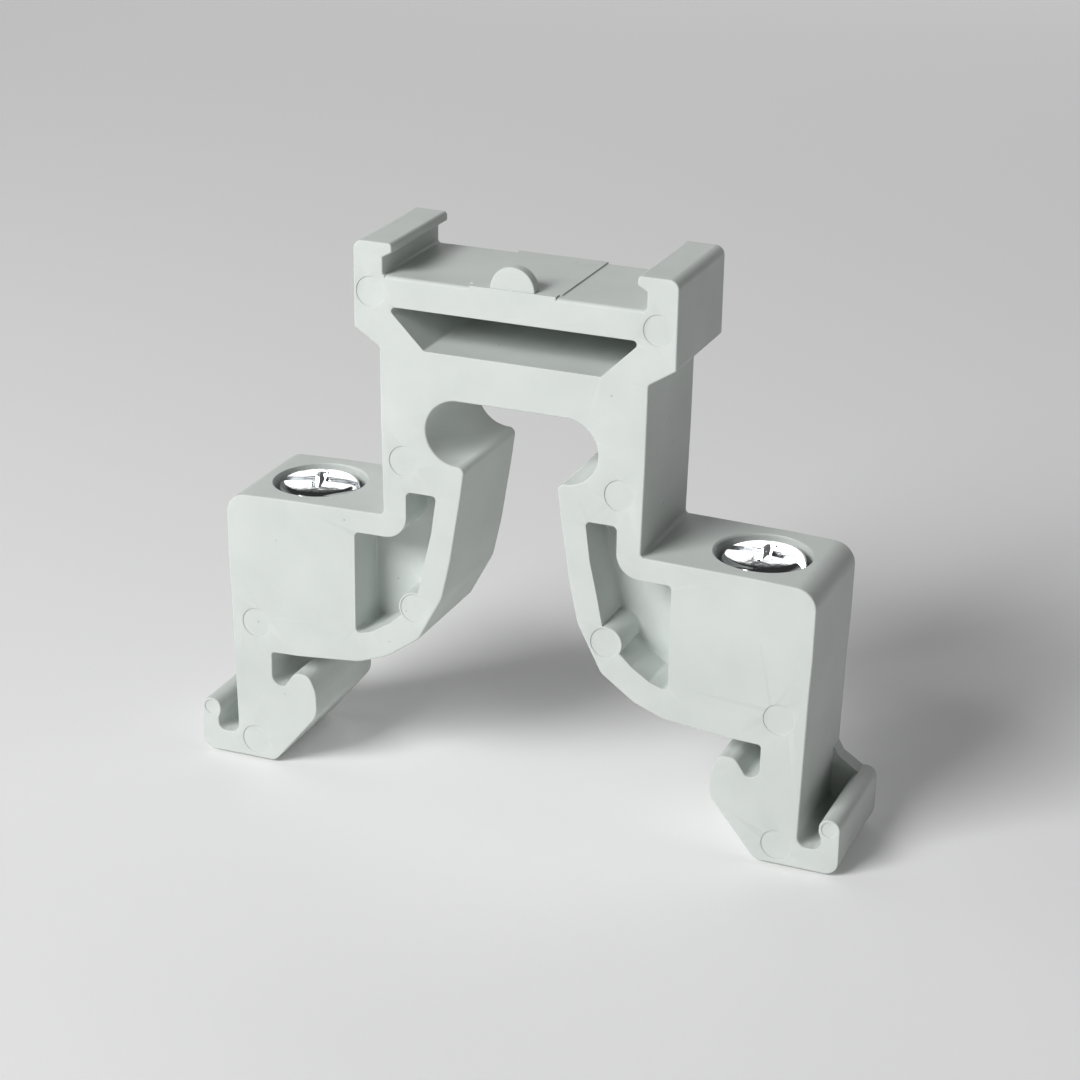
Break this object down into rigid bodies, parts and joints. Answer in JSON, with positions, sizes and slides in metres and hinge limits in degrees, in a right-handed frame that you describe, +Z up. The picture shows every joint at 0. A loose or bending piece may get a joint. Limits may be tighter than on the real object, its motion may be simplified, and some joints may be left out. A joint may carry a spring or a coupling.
{
  "type": "din rail end stop",
  "caption": "Arch-shaped moulded end clamp for a 35 mm mounting rail, with hooked feet, a marker channel on top and a clamping screw in each shoulder.",
  "frame": {"origin": "middle of the body at the level of its soles, halfway between the two feet and halfway through the thickness", "axes": "+X across the rail towards the right screw, +Y along the rail towards the face with the webs, +Z up from the rail towards the marker channel"},
  "size_m": [0.0506, 0.0094, 0.0419],
  "materials": {
    "housing": "light grey moulded polyamide, satin with a fine grain",
    "screw": "bright zinc-plated steel, smooth and mirror-like"
  },
  "bodies": {
    "clamp_body": {"body": "housing"},
    "left_screw": {"left_screw": "screw"},
    "right_screw": {"right_screw": "screw"}
  },
  "joints": [
    {"name": "left_screw_travel", "type": "slide", "parent": "clamp_body", "child": "left_screw", "axis": [0, 0, 1], "range_m": [-0.001, 0.004]},
    {"name": "right_screw_travel", "type": "slide", "parent": "clamp_body", "child": "right_screw", "axis": [0, 0, 1], "range_m": [-0.001, 0.004]}
  ]
}
